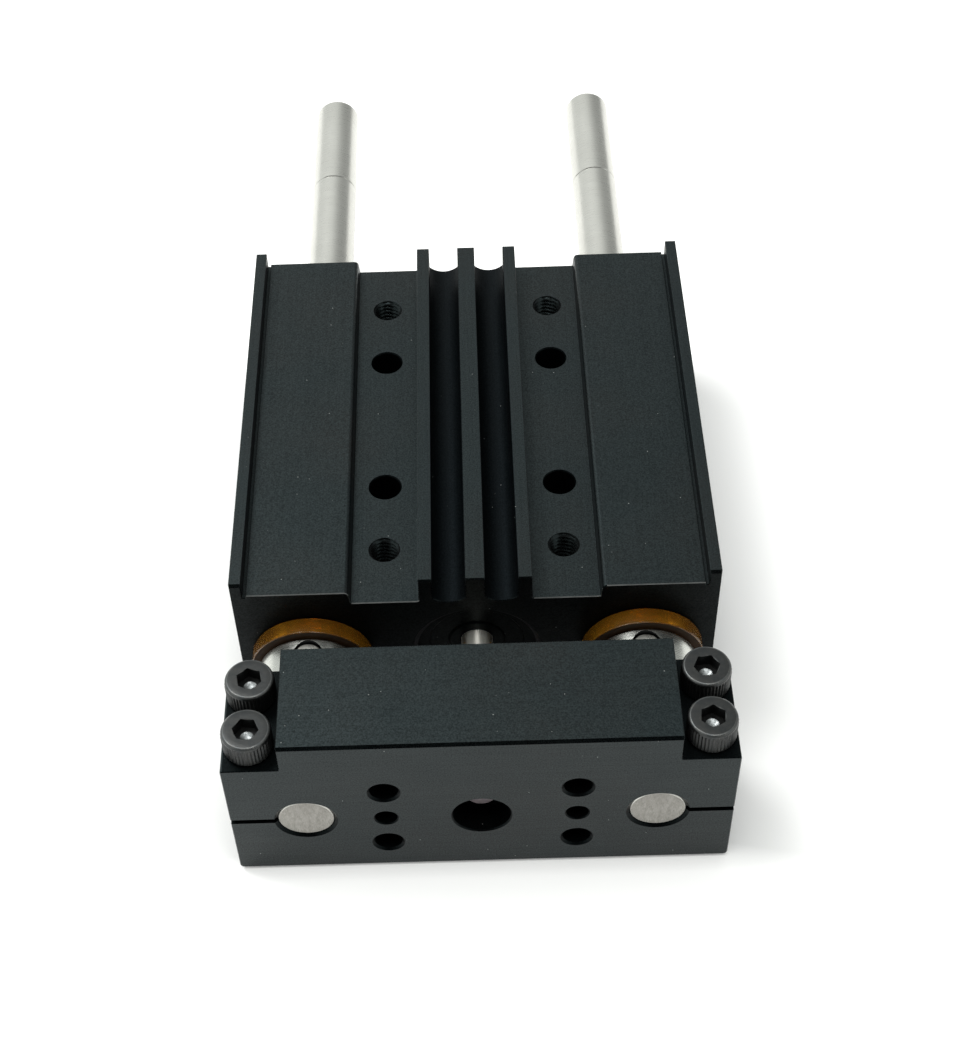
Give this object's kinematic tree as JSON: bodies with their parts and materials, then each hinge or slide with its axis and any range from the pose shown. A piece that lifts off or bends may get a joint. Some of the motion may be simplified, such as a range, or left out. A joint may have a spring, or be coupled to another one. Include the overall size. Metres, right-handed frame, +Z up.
{
  "type": "twin-shaft guided slide carriage",
  "caption": "Compact linear guide carriage: grooved black housing on paired ground shafts, with a split-clamp tool plate, stop collars and amber shock pads, driven by an inner cylinder.",
  "frame": {"origin": "middle of the housing's flat underside", "axes": "+Y along the shafts from the tool plate towards the free shaft ends, +X to the right seen from the tool plate, +Z up out of the grooved face"},
  "size_m": [0.089, 0.203, 0.038],
  "materials": {
    "anodised_aluminium": "black anodised, fine satin",
    "ground_shaft": "hardened and ground, satin",
    "collar_steel": "turned and plated, bright",
    "black_oxide": "black oxide, semi-matt",
    "urethane": "translucent amber urethane",
    "bearing_bronze": "sintered bronze, matt",
    "rod_steel": "polished rod",
    "spring_steel": "phosphated spring steel",
    "seal_rubber": "nitrile, matt",
    "piston_alloy": "turned",
    "magnet": "plastic-bonded ferrite",
    "zinc_steel": "zinc plated"
  },
  "bodies": {
    "carriage": {"housing": "anodised_aluminium", "bearing_front_left": "bearing_bronze", "bearing_front_right": "bearing_bronze", "bearing_rear_left": "bearing_bronze", "bearing_rear_right": "bearing_bronze", "bearing_ring_front_left": "spring_steel", "bearing_ring_front_right": "spring_steel", "bearing_ring_rear_left": "spring_steel", "bearing_ring_rear_right": "spring_steel", "cylinder_gland": "anodised_aluminium", "gland_o_ring": "seal_rubber", "rod_seal": "seal_rubber", "gland_ring": "spring_steel", "rear_head": "anodised_aluminium", "head_o_ring": "seal_rubber", "head_ring": "spring_steel"},
    "slide": {"tool_plate": "anodised_aluminium", "clamp_screw_front_left": "black_oxide", "clamp_screw_front_right": "black_oxide", "clamp_screw_rear_left": "black_oxide", "clamp_screw_rear_right": "black_oxide", "shaft_left": "ground_shaft", "shaft_right": "ground_shaft", "stop_collar_left": "collar_steel", "stop_collar_right": "collar_steel", "set_screw_left": "black_oxide", "set_screw_right": "black_oxide", "shock_pad_left": "urethane", "shock_pad_right": "urethane", "piston_rod": "rod_steel", "rod_nut": "zinc_steel", "piston": "piston_alloy", "piston_seal_front": "seal_rubber", "piston_seal_rear": "seal_rubber", "piston_magnet": "magnet"}
  },
  "joints": [
    {"name": "slide_travel", "type": "slide", "parent": "carriage", "child": "slide", "axis": [0, -1, 0], "range_m": [0, 0.05]}
  ]
}
